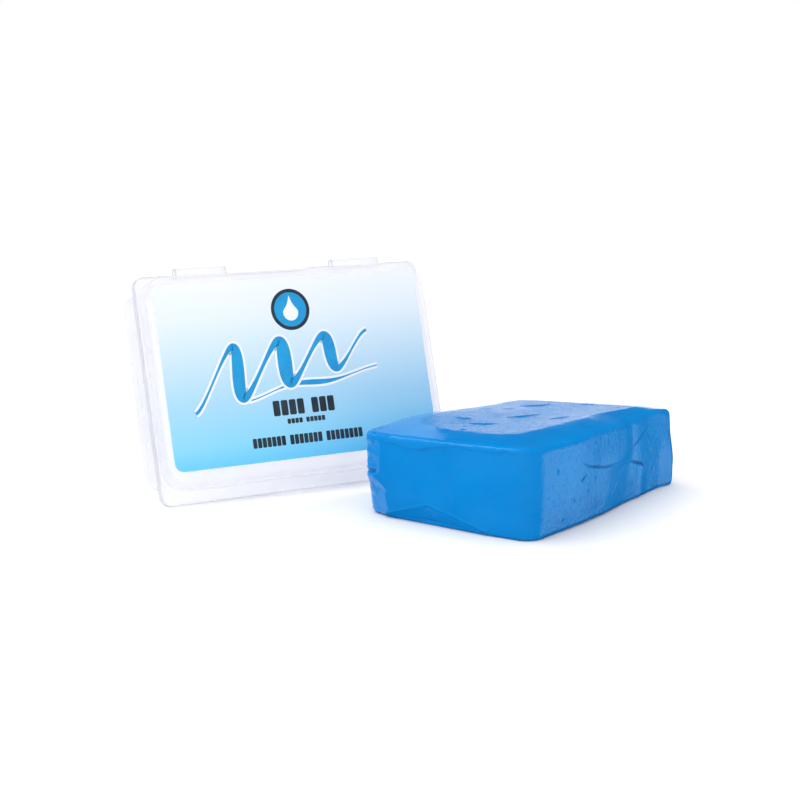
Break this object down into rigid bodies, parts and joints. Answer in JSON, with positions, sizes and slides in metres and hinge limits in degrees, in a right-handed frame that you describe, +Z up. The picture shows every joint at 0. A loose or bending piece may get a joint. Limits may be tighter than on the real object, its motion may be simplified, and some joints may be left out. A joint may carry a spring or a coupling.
{
  "type": "detailing clay bar with storage case",
  "caption": "Blue detailing clay bar lying in front of its own closed, translucent hinged storage case, which stands leaning back.",
  "frame": {"origin": "on the table, under the middle of the box round the bar and the case", "axes": "+X along the case's hinge, to the right as its label is seen; +Y from the label towards the tray's back; +Z up"},
  "size_m": [0.1368, 0.1112, 0.063],
  "materials": {
    "clay": "satin, kneaded",
    "case_plastic": "translucent polypropylene",
    "label": "satin print"
  },
  "bodies": {
    "clay": {"clay_bar": "clay"},
    "case_lid": {"lid_shell": "case_plastic", "lid_label": "label", "hinge_strap_left": "case_plastic", "hinge_strap_right": "case_plastic"},
    "case_tray": {"tray_shell": "case_plastic"}
  },
  "joints": [
    {"name": "case_lift", "type": "slide", "parent": "clay", "child": "case_lid", "axis": [0, 0, 1], "range_m": [0, 0.08]},
    {"name": "case_hinge", "type": "hinge", "parent": "case_lid", "child": "case_tray", "pos_m": [-0.0244, 0.03887, 0.06167], "axis": [1, 0, 0], "range_deg": [0, 180], "deforming": ["hinge_strap_left", "hinge_strap_right"]}
  ]
}
